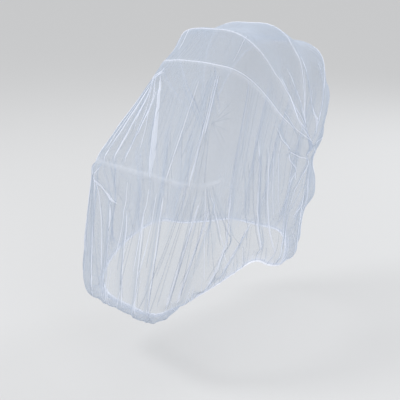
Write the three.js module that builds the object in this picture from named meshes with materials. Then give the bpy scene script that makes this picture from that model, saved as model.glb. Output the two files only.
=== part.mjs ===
// Fitted mosquito net, in the shape in which it hangs.
// One sheet of fine net is stretched over a hood and a knee ledge, and an elastic edge gathers its mouth.
// Millimetres, +Z up. The foot end of the net is at -Y, the head end at +Y, and +X is its right-hand side
// seen from the foot end. Heights in the tables are above the floor, and the finished net is moved at the
// end so that the origin lies under the top of the hood, where the net is held up.
import * as THREE from 'three';
import { ConvexHull } from 'three/addons/math/ConvexHull.js';

const DEGREE = Math.PI / 180;

// Cloth and elastic
const CLOTH_THICKNESS = 1.2;
const ELASTIC_WIDTH = 6;
const ELASTIC_THICKNESS = 2.4;
const ELASTIC_SHOULDER = 1.6;
const ELASTIC_LIP = 0.48;
const SEAM_GAP = 0.3;

// The hood: arched ridges that all meet on one cross axis
const HOOD_AXIS = { y: 223, z: 624 };
const HOOD_HALF_WIDTH = 222;
const ARCH_ROUNDNESS = 0.605;
const ARCH_STEPS = 18;
const RIDGES = [
  { name: 'brim', lean: 45, reach: 405 },
  { name: 'front', lean: 61.5, reach: 434 },
  { name: 'middle', lean: 86.3, reach: 396 },
  { name: 'rear', lean: 119, reach: 374 },
];

// Level outlines over which the skirt is stretched: round-cornered rectangles
const CORNER_STEPS = 4;
const LEVELS = [
  { name: 'toe', height: 202, half: 180, front: -392, back: -200, corner: 55 },
  { name: 'low front', height: 238, half: 203, front: -388, back: -200, corner: 62 },
  { name: 'low sides', height: 320, half: 240, front: -330, back: 262, corner: 90 },
  { name: 'ledge', height: 606, half: 234, front: -283, back: -150, corner: 50 },
  { name: 'shoulders', height: 775, half: 207, front: 250, back: 418, corner: 70 },
];

// The mouth: points along the edge, from the middle of the foot end round the +X side
const MOUTH = [
  { name: 'foot', x: 0, y: -345, z: 203 },
  { name: 'right toe', x: 118, y: -330, z: 205 },
  { name: 'right toe corner', x: 166, y: -284, z: 231 },
  { name: 'right front', x: 210, y: -236, z: 268 },
  { name: 'right side', x: 233, y: -130, z: 304 },
  { name: 'right middle', x: 238, y: -26, z: 324 },
  { name: 'right dip', x: 236, y: 46, z: 292 },
  { name: 'right pouch', x: 224, y: 116, z: 278 },
  { name: 'right rear', x: 190, y: 192, z: 301 },
  { name: 'head right', x: 110, y: 252, z: 318 },
  { name: 'head', x: 0, y: 258, z: 312 },
  { name: 'head left', x: -118, y: 250, z: 305 },
  { name: 'left rear', x: -198, y: 200, z: 290 },
  { name: 'left pouch', x: -226, y: 120, z: 302 },
  { name: 'left side', x: -238, y: -20, z: 330 },
  { name: 'left front', x: -226, y: -190, z: 282 },
  { name: 'left toe corner', x: -180, y: -296, z: 226 },
  { name: 'left toe', x: -112, y: -334, z: 204 },
];

// Where the rows of the sheet run: all rows start at the mouth and end at the crown
const HEART = new THREE.Vector3(0, 0, 560);
const CROWN = new THREE.Vector3(0, 110, 1015);
const AROUND = 128;
const RAY_STEPS = 240;
const SKIRT_ROWS = [0, 0.07, 0.17, 0.31, 0.46, 0.61, 0.75, 0.87, 0.95, 1];
const SLOPE_ROWS = [0.1, 0.3, 0.52, 0.74, 0.92, 1];
const HOOD_ROWS = [0.08, 0.2, 0.34, 0.48, 0.62, 0.76, 0.89];
const HALVING_ROWS = [16, 20];
const LEDGE_HEIGHT = 606;
const CROWN_LINE_RISE = 96;
const MOUTH_PULL = 45;
const EDGE_ON = 1e-6;

// Under the top of the hood: the point that holds the net up
const HOOD_TOP = { y: 180, z: 1013 };

// Puffs and hollows of the slack cloth: centre, how far it spreads, and its height (a hollow is negative)
const PUFFS = [
  { name: 'right pouch', x: 236, y: 90, z: 320, spread: 75, height: 16 },
  { name: 'pouch lobe', x: 218, y: 205, z: 350, spread: 45, height: -6 },
  { name: 'right seat bulge', x: 200, y: 290, z: 468, spread: 60, height: 18 },
  { name: 'waist above it', x: 205, y: 315, z: 575, spread: 42, height: -17 },
  { name: 'waist below it', x: 200, y: 262, z: 400, spread: 42, height: -20 },
  { name: 'elbow', x: 215, y: 320, z: 655, spread: 50, height: 8 },
  { name: 'right side slack', x: 240, y: -60, z: 480, spread: 110, height: -12 },
  { name: 'hem roll', x: 236, y: -20, z: 372, spread: 34, height: 10 },
  { name: 'left pouch', x: -236, y: 110, z: 345, spread: 80, height: 18 },
  { name: 'left side slack', x: -240, y: -90, z: 470, spread: 110, height: -10 },
  { name: 'left waist', x: -215, y: 290, z: 540, spread: 60, height: -12 },
  { name: 'head hollow', x: 0, y: 370, z: 600, spread: 120, height: -14 },
  { name: 'head puff', x: 60, y: 320, z: 430, spread: 80, height: 14 },
  { name: 'foot slack', x: -20, y: -330, z: 480, spread: 110, height: -9 },
  { name: 'front canopy dip', x: 0, y: 112, z: 1010, spread: 70, height: -6 },
  { name: 'rear canopy dip', x: 0, y: 300, z: 985, spread: 80, height: -8 },
];

// Folds: a soft ridge from one point to another, with a shallow trough on each side. It falls away over
// its width from the crest, and stands `from` high where it starts and `to` high where it ends.
const FOLDS = [
  // from the brim down to the ledge
  { name: 'brim band', start: [-76, -112, 848], end: [56, -284, 616], width: 20, from: 12, to: 9 },
  { name: 'slope 1', start: [-106, -80, 878], end: [-206, -266, 616], width: 15, from: 3, to: 6 },
  { name: 'slope 2', start: [-96, -86, 874], end: [-160, -270, 622], width: 14, from: 9, to: 10 },
  { name: 'slope 3', start: [-84, -98, 862], end: [-118, -266, 631], width: 14, from: 9, to: 10 },
  { name: 'slope 4', start: [-66, -140, 805], end: [-70, -268, 634], width: 15, from: 6, to: 9 },
  { name: 'slope 5', start: [120, -80, 866], end: [200, -262, 616], width: 17, from: 8, to: 9 },
  { name: 'slope 6', start: [70, -100, 850], end: [124, -280, 616], width: 16, from: 6, to: 6 },
  // below the ledge, at the foot end
  { name: 'left corner', start: [-214, -284, 590], end: [-196, -368, 245], width: 17, from: 7, to: 3 },
  { name: 'foot 1', start: [-180, -296, 576], end: [-106, -388, 246], width: 16, from: 8, to: 6 },
  { name: 'foot slant', start: [-200, -289, 587], end: [-88, -316, 508], width: 15, from: 8, to: 5 },
  { name: 'foot 2', start: [-94, -319, 493], end: [-28, -391, 226], width: 17, from: 8, to: 6 },
  { name: 'foot 3', start: [-20, -316, 490], end: [44, -391, 228], width: 17, from: 6, to: 6 },
  { name: 'foot 4', start: [60, -314, 500], end: [104, -391, 230], width: 17, from: 6, to: 8 },
  { name: 'foot 5', start: [130, -300, 560], end: [156, -386, 240], width: 17, from: 8, to: 9 },
  // right side
  { name: 'right corner', start: [233, -263, 560], end: [196, -352, 275], width: 16, from: 14, to: 12 },
  { name: 'right corner twin', start: [238, -226, 545], end: [208, -322, 285], width: 15, from: 13, to: 12 },
  { name: 'right side 1', start: [230, -134, 557], end: [233, -156, 420], width: 17, from: 7, to: 10 },
  { name: 'right side 1 low', start: [233, -154, 425], end: [238, -251, 298], width: 17, from: 10, to: 12 },
  { name: 'right side 2', start: [228, -38, 456], end: [243, -191, 335], width: 16, from: 6, to: 13 },
  { name: 'right side 3', start: [232, -16, 690], end: [246, -24, 370], width: 16, from: 6, to: 14 },
  { name: 'right side 4', start: [233, 72, 722], end: [236, 110, 650], width: 15, from: 6, to: 10 },
  { name: 'right side 4 low', start: [236, 104, 656], end: [237, 166, 542], width: 17, from: 10, to: 7 },
  { name: 'right side 5', start: [232, 150, 590], end: [241, 60, 330], width: 17, from: 9, to: 10 },
  { name: 'right side 6', start: [226, 215, 590], end: [238, 150, 300], width: 18, from: 10, to: 10 },
  // gathered towards the hood's right corner
  { name: 'corner pull 1', start: [207, 103, 861], end: [231, 226, 632], width: 14, from: 5, to: 12 },
  { name: 'corner pull low', start: [217, 114, 757], end: [228, 222, 620], width: 13, from: 5, to: 9 },
  { name: 'corner pull side', start: [236, 112, 645], end: [232, 206, 602], width: 13, from: 4, to: 8 },
  { name: 'corner pull 2', start: [195, 150, 877], end: [233, 226, 640], width: 14, from: 6, to: 12 },
  { name: 'corner pull 3', start: [193, 218, 909], end: [228, 262, 690], width: 20, from: 7, to: 13 },
  { name: 'corner pull 4', start: [185, 325, 882], end: [226, 284, 720], width: 16, from: 5, to: 9 },
  // head end
  { name: 'head 1', start: [170, 400, 800], end: [150, 290, 350], width: 20, from: 8, to: 12 },
  { name: 'head 2', start: [96, 418, 790], end: [80, 300, 350], width: 20, from: 8, to: 13 },
  { name: 'head 3', start: [10, 418, 760], end: [-14, 300, 345], width: 21, from: 6, to: 12 },
  { name: 'head 4', start: [-92, 416, 780], end: [-84, 300, 345], width: 20, from: 9, to: 10 },
  { name: 'head 5', start: [-172, 396, 790], end: [-160, 284, 345], width: 19, from: 8, to: 12 },
  // left side
  { name: 'left pull 1', start: [-217, 126, 800], end: [-226, 228, 640], width: 16, from: 5, to: 10 },
  { name: 'left pull 2', start: [-200, 246, 870], end: [-219, 292, 690], width: 17, from: 6, to: 10 },
  { name: 'left side 1', start: [-232, 170, 600], end: [-238, 120, 330], width: 18, from: 8, to: 10 },
  { name: 'left side 2', start: [-232, 60, 640], end: [-241, 20, 360], width: 17, from: 6, to: 12 },
  { name: 'left side 3', start: [-236, -70, 600], end: [-240, -80, 345], width: 18, from: 8, to: 10 },
  { name: 'left side 4', start: [-238, -170, 580], end: [-232, -190, 310], width: 17, from: 9, to: 10 },
  { name: 'left side 5', start: [-236, -240, 560], end: [-222, -290, 290], width: 16, from: 10, to: 10 },
];
const FOLD_REACH = 60;
const TROUGH_SHARE = 0.45;

// Gathers where the elastic draws the edge in
const GATHER_HEIGHT = 95;
const GATHER_SIZE = 5.5;
const GATHER_WAVES = [
  { count: 41, phase: 0.4, share: 0.5 },
  { count: 53, phase: 2.1, share: 0.32 },
  { count: 17, phase: 1.3, share: 0.38 },
];

function archPoint(ridge, angle) {
  const across = Math.cos(angle);
  const rise = ridge.reach * Math.pow(Math.abs(Math.sin(angle)), ARCH_ROUNDNESS);
  return new THREE.Vector3(
    HOOD_HALF_WIDTH * Math.sign(across) * Math.pow(Math.abs(across), ARCH_ROUNDNESS),
    HOOD_AXIS.y - rise * Math.cos(ridge.lean * DEGREE),
    HOOD_AXIS.z + rise * Math.sin(ridge.lean * DEGREE),
  );
}

function levelPoints(level) {
  const points = [];
  for (const side of [-1, 1]) {
    for (const end of [-1, 1]) {
      const edge = end < 0 ? level.front : level.back;
      for (let step = 0; step <= CORNER_STEPS; step += 1) {
        const turn = (step / CORNER_STEPS) * 90 * DEGREE;
        points.push(new THREE.Vector3(
          side * (level.half - level.corner * (1 - Math.cos(turn))),
          edge - end * level.corner * (1 - Math.sin(turn)),
          level.height,
        ));
      }
    }
  }
  return points;
}

// The tight shape: straight cloth from ridge to ridge and from ridge to ledge
function tightShape() {
  const points = [];
  for (const ridge of RIDGES) {
    for (let step = 0; step <= ARCH_STEPS; step += 1) {
      points.push(archPoint(ridge, (step / ARCH_STEPS) * Math.PI));
    }
  }
  for (const level of LEVELS) {
    points.push(...levelPoints(level));
  }
  return new ConvexHull().setFromPoints(points);
}

function reachAlong(shape, direction) {
  let reach = Infinity;
  for (const face of shape.faces) {
    const towards = face.normal.dot(direction);
    if (towards > EDGE_ON) {
      reach = Math.min(reach, (face.constant - face.normal.dot(HEART)) / towards);
    }
  }
  return reach;
}

// The curve through the mouth's points, once round
function mouthCurve() {
  const points = MOUTH.map((p) => new THREE.Vector3(p.x, p.y, p.z));
  return new THREE.CatmullRomCurve3(points, true, 'centripetal');
}

// Height at which a row of the hood starts, at a given distance from the foot end
function crownLine(y) {
  const ahead = (HOOD_AXIS.y - y) * Math.tan(RIDGES[0].lean * DEGREE);
  const behind = (y - HOOD_AXIS.y) * Math.tan((180 - RIDGES[3].lean) * DEGREE);
  const rise = Math.max(ahead, behind, 0);
  return HOOD_AXIS.z + Math.hypot(rise, CROWN_LINE_RISE);
}

// One line of the sheet, from the mouth to the crown, as evenly spaced samples
function meridian(shape, mouthPoint) {
  const first = mouthPoint.clone().sub(HEART).normalize();
  const last = CROWN.clone().sub(HEART).normalize();
  const angle = Math.acos(first.dot(last));
  const samples = [];
  let length = 0;
  for (let step = 0; step <= RAY_STEPS; step += 1) {
    const share = step / RAY_STEPS;
    const direction = first.clone().multiplyScalar(Math.sin((1 - share) * angle))
      .addScaledVector(last, Math.sin(share * angle)).divideScalar(Math.sin(angle));
    const point = direction.multiplyScalar(reachAlong(shape, direction)).add(HEART);
    if (step > 0) {
      length += point.distanceTo(samples[step - 1].point);
    }
    samples.push({ point, length });
  }
  return samples;
}

function pointAt(samples, length) {
  const found = samples.findIndex((sample) => sample.length >= length);
  const next = found < 0 ? samples.length - 1 : Math.max(1, found);
  const before = samples[next - 1];
  const span = samples[next].length - before.length;
  const share = Math.min(1, (length - before.length) / span);
  return before.point.clone().lerp(samples[next].point, share);
}

function lengthWhere(samples, passed) {
  return samples.find((sample) => passed(sample.point)).length;
}

// Points of one line of the sheet: skirt to ledge, ledge to brim, brim to crown
function linePoints(shape, mouthPoint) {
  const samples = meridian(shape, mouthPoint);
  const total = samples[samples.length - 1].length;
  const ledge = lengthWhere(samples, (p) => p.z > LEDGE_HEIGHT);
  const brim = lengthWhere(samples, (p) => p.z > crownLine(p.y));
  const lengths = [
    ...SKIRT_ROWS.map((share) => share * ledge),
    ...SLOPE_ROWS.map((share) => ledge + share * (brim - ledge)),
    ...HOOD_ROWS.map((share) => brim + share * (total - brim)),
  ];
  const pull = mouthPoint.clone().sub(samples[0].point);
  return lengths.map((length) => (
    pointAt(samples, length).addScaledVector(pull, Math.exp(-length / MOUTH_PULL))
  ));
}

function puffHeight(point) {
  let height = 0;
  for (const puff of PUFFS) {
    const distance = Math.hypot(point.x - puff.x, point.y - puff.y, point.z - puff.z);
    height += puff.height * Math.exp(-Math.pow(distance / puff.spread, 2));
  }
  return height;
}

function foldHeight(point, normal) {
  let height = 0;
  for (const fold of FOLDS) {
    const start = new THREE.Vector3(...fold.start);
    const along = new THREE.Vector3(...fold.end).sub(start);
    const span = along.length();
    along.divideScalar(span);
    const offset = point.clone().sub(start);
    const travel = offset.dot(along);
    const nearest = THREE.MathUtils.clamp(travel, 0, span);
    offset.addScaledVector(along, -nearest);
    const depth = offset.dot(normal);
    if (Math.abs(depth) < FOLD_REACH) {
      const across = offset.addScaledVector(normal, -depth).length() / fold.width;
      const ridge = (1 - TROUGH_SHARE * across * across) * Math.exp(-across * across / 2);
      const share = nearest / span;
      height += THREE.MathUtils.lerp(fold.from, fold.to, share) * ridge;
    }
  }
  return height;
}

function gatherHeight(turn, length) {
  let wave = 0;
  for (const ripple of GATHER_WAVES) {
    wave += ripple.share * Math.sin(ripple.count * turn * 2 * Math.PI + ripple.phase);
  }
  return GATHER_SIZE * wave * Math.exp(-length / GATHER_HEIGHT);
}

// The sheet as rows of points, each row from the foot end round the +X side; upper rows have fewer points
function sheetRows() {
  const shape = tightShape();
  const curve = mouthCurve();
  const lines = [];
  for (let line = 0; line < AROUND; line += 1) {
    lines.push(linePoints(shape, curve.getPointAt(line / AROUND)));
  }
  const rows = [];
  let step = 1;
  for (let row = 0; row < lines[0].length; row += 1) {
    step *= HALVING_ROWS.includes(row) ? 2 : 1;
    rows.push(lines.filter((_, line) => line % step === 0).map((points) => points[row]));
  }
  const top = CROWN.clone().sub(HEART).normalize();
  rows.push([top.multiplyScalar(reachAlong(shape, top)).add(HEART)]);
  return rows;
}

// Triangles between two rows: equal rows, a row of half as many points, or the single point at the crown
function joinRows(faces, low, lowCount, high, highCount) {
  for (let i = 0; i < lowCount; i += 1) {
    const a = low + i;
    const b = low + ((i + 1) % lowCount);
    if (highCount === 1) {
      faces.push([a, b, high]);
    } else if (highCount === lowCount) {
      faces.push([a, b, high + ((i + 1) % highCount)]);
      faces.push([a, high + ((i + 1) % highCount), high + i]);
    } else if (i % 2 === 0) {
      faces.push([a, b, high + i / 2]);
    } else {
      const next = high + (((i + 1) / 2) % highCount);
      faces.push([a, next, high + (i - 1) / 2]);
      faces.push([a, b, next]);
    }
  }
}

function vertexNormals(points, faces) {
  const normals = points.map(() => new THREE.Vector3());
  for (const [a, b, c] of faces) {
    const side = points[b].clone().sub(points[a]);
    const normal = side.cross(points[c].clone().sub(points[a]));
    for (const corner of [a, b, c]) {
      normals[corner].add(normal);
    }
  }
  return normals.map((normal) => normal.normalize());
}

// The outer face of the cloth, with its puffs, folds and gathers
function drapedSheet() {
  const rows = sheetRows();
  const points = rows.flat();
  const faces = [];
  let low = 0;
  for (let row = 0; row + 1 < rows.length; row += 1) {
    const high = low + rows[row].length;
    joinRows(faces, low, rows[row].length, high, rows[row + 1].length);
    low = high;
  }
  const smooth = vertexNormals(points, faces);
  let first = 0;
  const shifted = [];
  rows.forEach((row) => {
    row.forEach((point, i) => {
      const normal = smooth[first + i];
      const rise = point.distanceTo(rows[0][Math.floor((i / row.length) * AROUND)]);
      const height = puffHeight(point) + foldHeight(point, normal)
        + gatherHeight(i / row.length, rise);
      shifted.push(point.clone().addScaledVector(normal, height));
    });
    first += row.length;
  });
  return { points: shifted, faces, mouthCount: rows[0].length };
}

function closedGeometry(points, faces) {
  const geometry = new THREE.BufferGeometry();
  geometry.setAttribute('position', new THREE.Float32BufferAttribute(
    points.flatMap((p) => [p.x, p.y, p.z]),
    3,
  ));
  geometry.setIndex(faces.flat());
  geometry.computeVertexNormals();
  return geometry;
}

// The cloth: the outer face, the same face set in by the cloth's thickness, and the cut edge at the mouth
function netGeometry(sheet, normals) {
  const count = sheet.points.length;
  const inner = sheet.points.map((point, i) => (
    point.clone().addScaledVector(normals[i], -CLOTH_THICKNESS)
  ));
  const faces = [...sheet.faces];
  for (const [a, b, c] of sheet.faces) {
    faces.push([count + a, count + c, count + b]);
  }
  for (let i = 0; i < sheet.mouthCount; i += 1) {
    const next = (i + 1) % sheet.mouthCount;
    faces.push([i, count + i, next]);
    faces.push([next, count + i, count + next]);
  }
  return closedGeometry([...sheet.points, ...inner], faces);
}

// The elastic: a flat band that carries on from the cut edge, a seam's gap away from it
function elasticGeometry(sheet, normals) {
  const corners = [
    { down: SEAM_GAP, out: ELASTIC_LIP },
    { down: SEAM_GAP + ELASTIC_SHOULDER, out: ELASTIC_THICKNESS / 2 },
    { down: SEAM_GAP + ELASTIC_WIDTH, out: ELASTIC_THICKNESS / 2 },
    { down: SEAM_GAP + ELASTIC_WIDTH, out: -ELASTIC_THICKNESS / 2 },
    { down: SEAM_GAP + ELASTIC_SHOULDER, out: -ELASTIC_THICKNESS / 2 },
    { down: SEAM_GAP, out: -ELASTIC_LIP },
  ];
  const count = sheet.mouthCount;
  const points = [];
  for (let i = 0; i < count; i += 1) {
    const edge = sheet.points[i].clone().addScaledVector(normals[i], -CLOTH_THICKNESS / 2);
    const down = sheet.points[i].clone().sub(sheet.points[count + i]);
    down.addScaledVector(normals[i], -down.dot(normals[i])).normalize();
    for (const corner of corners) {
      points.push(edge.clone().addScaledVector(down, corner.down).addScaledVector(normals[i], corner.out));
    }
  }
  const faces = [];
  for (let i = 0; i < count; i += 1) {
    const here = i * corners.length;
    const there = ((i + 1) % count) * corners.length;
    for (let k = 0; k < corners.length; k += 1) {
      const turn = (k + 1) % corners.length;
      faces.push([here + k, here + turn, there + k]);
      faces.push([there + k, here + turn, there + turn]);
    }
  }
  return closedGeometry(points, faces);
}

function piece(name, geometry, look) {
  const mesh = new THREE.Mesh(geometry, new THREE.MeshStandardMaterial(look));
  mesh.name = name;
  return mesh;
}

const sheet = drapedSheet();
const sheetNormals = vertexNormals(sheet.points, sheet.faces);
const net = piece('net', netGeometry(sheet, sheetNormals), {
  color: 0xdcdcec, roughness: 0.85, metalness: 0, transparent: true, opacity: 0.45,
});
const elasticEdge = piece('elastic_edge', elasticGeometry(sheet, sheetNormals), {
  color: 0xf1f1f8, roughness: 0.8, metalness: 0,
});

const mosquitoNet = new THREE.Group();
mosquitoNet.position.set(0, -HOOD_TOP.y, -HOOD_TOP.z);
mosquitoNet.add(net, elasticEdge);

export default mosquitoNet;
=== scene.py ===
# Fitted mosquito net: one sheer sheet hung over a hood and a knee ledge, its mouth drawn in by an elastic edge.
# The tables are in millimetres above the floor, as in the part's source. -Y is the foot end and +X the
# right-hand side seen from there. The finished meshes are in metres in the row frame.
import math
import random

import bmesh
import bpy
import numpy as np
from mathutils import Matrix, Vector
from mathutils.bvhtree import BVHTree


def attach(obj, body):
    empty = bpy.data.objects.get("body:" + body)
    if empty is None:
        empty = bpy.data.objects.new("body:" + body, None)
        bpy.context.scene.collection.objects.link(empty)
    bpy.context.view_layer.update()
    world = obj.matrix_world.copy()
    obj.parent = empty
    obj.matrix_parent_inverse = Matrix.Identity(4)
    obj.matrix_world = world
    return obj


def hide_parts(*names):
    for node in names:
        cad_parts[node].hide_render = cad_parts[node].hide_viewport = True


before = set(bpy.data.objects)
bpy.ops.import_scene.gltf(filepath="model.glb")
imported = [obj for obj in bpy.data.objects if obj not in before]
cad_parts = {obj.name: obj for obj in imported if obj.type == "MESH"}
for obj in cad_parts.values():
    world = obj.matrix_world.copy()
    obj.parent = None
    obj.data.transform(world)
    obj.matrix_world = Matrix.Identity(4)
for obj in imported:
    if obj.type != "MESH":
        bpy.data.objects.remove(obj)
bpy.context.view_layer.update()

# Where the row frame's origin lies in millimetres, and the floor in metres
MM_IN_METRE = 1000
HOOD_TOP = np.array([0.0, 180.0, 1013.0])
FLOOR_Z = -HOOD_TOP[2] / MM_IN_METRE

# Camera: metres, degrees, and a lens in millimetres for its sensor
CAMERA_PLACE = (1.463, -1.669, 0.102)
CAMERA_TURN = 45.0
CAMERA_DIP = 17.45
CAMERA_LENS = 60.03
CAMERA_SENSOR = 36
CAMERA_SEES_TO = 200

# The hood: arched ridges that all meet on one cross axis
HOOD_AXIS = {"y": 223, "z": 624}
HOOD_HALF_WIDTH = 222
ARCH_ROUNDNESS = 0.605
ARCH_STEPS = 56
RIDGES = [
    {"name": "brim", "lean": 45, "reach": 405},
    {"name": "front", "lean": 61.5, "reach": 434},
    {"name": "middle", "lean": 86.3, "reach": 396},
    {"name": "rear", "lean": 119, "reach": 374},
]

# Level outlines over which the skirt is stretched: round-cornered rectangles
CORNER_STEPS = 12
LEVELS = [
    {"name": "toe", "height": 202, "half": 180, "front": -392, "back": -200, "corner": 55},
    {"name": "low front", "height": 238, "half": 203, "front": -388, "back": -200, "corner": 62},
    {"name": "low sides", "height": 320, "half": 240, "front": -330, "back": 262, "corner": 90},
    {"name": "ledge", "height": 606, "half": 234, "front": -283, "back": -150, "corner": 50},
    {"name": "shoulders", "height": 775, "half": 207, "front": 250, "back": 418, "corner": 70},
]

# The mouth: points along the edge, from the middle of the foot end round the +X side
MOUTH = {
    "foot": (0, -345, 203),
    "right toe": (118, -330, 205),
    "right toe corner": (166, -284, 231),
    "right front": (210, -236, 268),
    "right side": (233, -130, 304),
    "right middle": (238, -26, 324),
    "right dip": (236, 46, 292),
    "right pouch": (224, 116, 278),
    "right rear": (190, 192, 301),
    "head right": (110, 252, 318),
    "head": (0, 258, 312),
    "head left": (-118, 250, 305),
    "left rear": (-198, 200, 290),
    "left pouch": (-226, 120, 302),
    "left side": (-238, -20, 330),
    "left front": (-226, -190, 282),
    "left toe corner": (-180, -296, 226),
    "left toe": (-112, -334, 204),
}

# The tight shape is cast outwards from its heart. The lines of the sheet run from the mouth to the crown: up
# the skirt to the ledge, up the slope to the brim, and over the hood. The upper rows have fewer points.
HEART = np.array([0.0, 0.0, 560.0])
CROWN = np.array([0.0, 110.0, 1015.0])
AROUND = 512
TURNS = np.arange(AROUND) / AROUND * 2 * math.pi
MOUTH_STEPS = 60
RAY_STEPS = 300
SKIRT_STEPS = 84
SLOPE_STEPS = 40
HOOD_STEPS = 46
HALVING_ROWS = (132, 148, 158, 165)
LEDGE_HEIGHT = 606
CROWN_LINE_RISE = 96
MOUTH_PULL = 45

# How often the rows of points, their bounds and their normals are smoothed
ROUNDING_PASSES = 7
BOUND_PASSES = 3
NORMAL_PASSES = 6
EDGE_NORMAL_PASSES = 1

# Planes met at once, and the least area, slope and length that count
PLANES_AT_ONCE = 64
LEAST_AREA = 1e-3
LEAST_SLOPE = 1e-6
LEAST_LENGTH = 1e-9

# Puffs and hollows of the slack cloth: centre, spread and height (a hollow is negative)
PUFFS = {
    "right pouch": ((236, 90, 320), 75, 16),
    "pouch lobe": ((218, 205, 350), 45, -6),
    "right seat bulge": ((200, 290, 468), 60, 18),
    "waist above it": ((205, 315, 575), 42, -17),
    "waist below it": ((200, 262, 400), 42, -20),
    "elbow": ((215, 320, 655), 50, 8),
    "right side slack": ((240, -60, 480), 110, -12),
    "hem roll": ((236, -20, 372), 34, 10),
    "left pouch": ((-236, 110, 345), 80, 18),
    "left side slack": ((-240, -90, 470), 110, -10),
    "left waist": ((-215, 290, 540), 60, -12),
    "head hollow": ((0, 370, 600), 120, -14),
    "head puff": ((60, 320, 430), 80, 14),
    "foot slack": ((-20, -330, 480), 110, -9),
    "front canopy dip": ((0, 112, 1010), 70, -6),
    "rear canopy dip": ((0, 300, 985), 80, -8),
}


# Main folds: a soft ridge from one point to another, with a shallow trough on each side. It falls away
# over its width from the crest, and stands "rise" high where it starts and where it ends. The net lies
# folded over on the crest, in a band of the half-widths that "band" gives for the start and the end. The band
# of a fold that goes on runs on into the next fold's.
def main_fold(name, start, end, width, rise, band, goes_on=False):
    return {"name": name, "start": np.array(start, float), "end": np.array(end, float), "width": width,
            "rise": rise, "band": band, "goes on": goes_on}


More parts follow.
